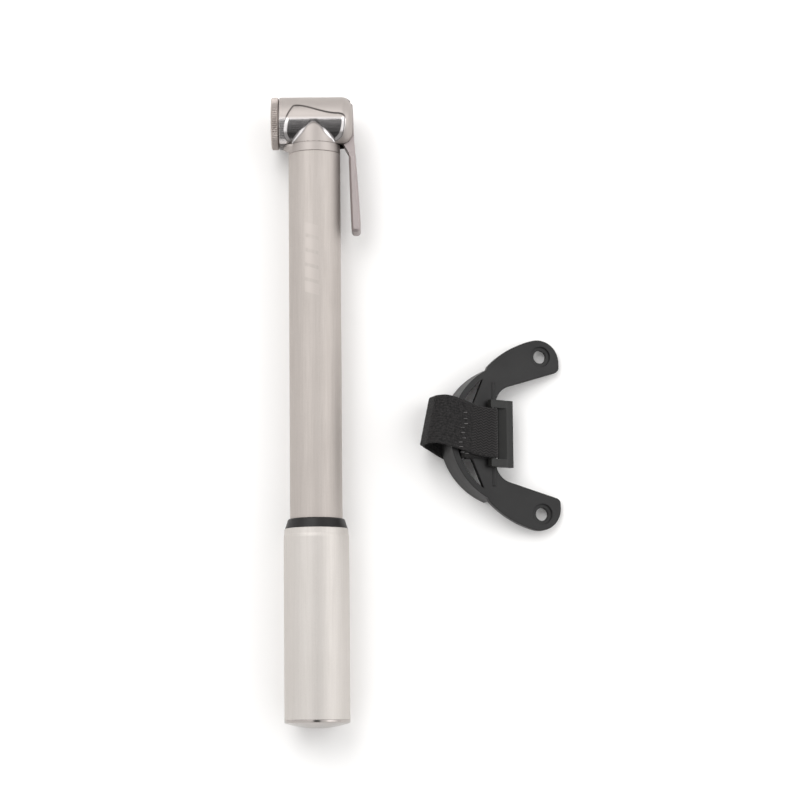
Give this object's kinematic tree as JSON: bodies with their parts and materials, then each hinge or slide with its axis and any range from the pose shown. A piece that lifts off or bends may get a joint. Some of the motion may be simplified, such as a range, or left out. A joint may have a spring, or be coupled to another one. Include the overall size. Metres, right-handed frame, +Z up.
{
  "type": "bicycle mini pump",
  "caption": "Slim bicycle hand pump with a knurled valve cap, thumb lock lever and pull handle, with its curved frame bracket and hook-and-loop strap lying beside it.",
  "frame": {"origin": "on the barrel's axis, half way along the bare tube between the head's neck and the handle's collar", "axes": "+Y along the barrel towards the head, +X away from the valve mouth towards the lever, +Z up off the table with the pump lying on its side"},
  "size_m": [0.1158, 0.2554, 0.0262],
  "materials": {
    "tube_silver": "bead-blasted and anodised silver",
    "head_silver": "satin with polished flanks",
    "handle_silver": "bead-blasted and anodised silver, lighter than the barrel",
    "lever_silver": "bead-blasted and anodised silver",
    "knurl_silver": "straight-knurled, anodised silver",
    "cap_polished": "turned and polished",
    "rod_silver": "drawn and anodised",
    "steel": "zinc plated",
    "brass": "machined",
    "rubber_black": "matte",
    "collar_black": "moulded, satin",
    "plastic_black": "moulded",
    "plastic_white": "moulded, slippery",
    "bracket_black": "moulded, faintly grained",
    "webbing_black": "woven webbing with sewn hook-and-loop faces",
    "buckle_black": "moulded, semi-gloss"
  },
  "bodies": {
    "pump_body": {"barrel": "tube_silver", "head_body": "head_silver", "lever_pin": "steel", "neck_seal": "rubber_black", "check_valve_seat": "brass", "check_valve_spring": "steel", "valve_gland": "rubber_black", "rod_guide": "plastic_black", "rod_bumper": "rubber_black"},
    "handle": {"handle_sleeve": "handle_silver", "handle_collar": "collar_black", "end_cap": "cap_polished", "end_plug": "plastic_black", "rod_screw": "steel", "piston_rod": "rod_silver", "piston_head": "plastic_black", "piston_cup": "rubber_black", "piston_glide_ring": "plastic_white", "piston_screw": "steel"},
    "lever": {"thumb_lever": "lever_silver"},
    "plunger": {"gland_plunger": "plastic_black", "plunger_seal": "rubber_black"},
    "check_ball": {"check_valve_ball": "steel"},
    "cap_carrier": {"cap_washer": "plastic_white"},
    "cap": {"valve_cap": "knurl_silver"},
    "bracket": {"mounting_bracket": "bracket_black", "strap": "webbing_black"},
    "buckle": {"strap_buckle": "buckle_black"}
  },
  "joints": [
    {"name": "handle_stroke", "type": "slide", "parent": "pump_body", "child": "handle", "axis": [0, -1, 0], "range_m": [0, 0.187]},
    {"name": "lever_pivot", "type": "hinge", "parent": "pump_body", "child": "lever", "pos_m": [0.0108, 0.08855, 0], "axis": [0, 0, 1], "range_deg": [0, 90], "deforming": ["valve_gland"]},
    {"name": "plunger_slide", "type": "slide", "parent": "pump_body", "child": "plunger", "axis": [-1, 0, 0], "range_m": [0, 0.0016], "deforming": ["valve_gland"]},
    {"name": "check_valve_lift", "type": "slide", "parent": "pump_body", "child": "check_ball", "axis": [0, 1, 0], "range_m": [0, 0.0012], "stiffness_N_per_m": 50, "deforming": ["check_valve_spring"]},
    {"name": "cap_travel", "type": "slide", "parent": "pump_body", "child": "cap_carrier", "axis": [-1, 0, 0], "range_m": [0, 0.004]},
    {"name": "cap_turn", "type": "hinge", "parent": "cap_carrier", "child": "cap", "pos_m": [-0.0155, 0.08735, 0], "axis": [-1, 0, 0], "range_deg": [0, 1440]},
    {"name": "bracket_lift", "type": "slide", "parent": "pump_body", "child": "bracket", "axis": [0, 0, 1], "range_m": [0, 0.1]},
    {"name": "buckle_hinge", "type": "hinge", "parent": "bracket", "child": "buckle", "pos_m": [0.07063, -0.0403, 0.00053], "axis": [0, -1, 0], "range_deg": [0, 110]}
  ],
  "couplings": [
    {"joint": "plunger_slide", "follows": "lever_pivot", "m_per_rad": 0.0010186},
    {"joint": "cap_travel", "follows": "cap_turn", "m_per_rad": 0.00015915}
  ]
}
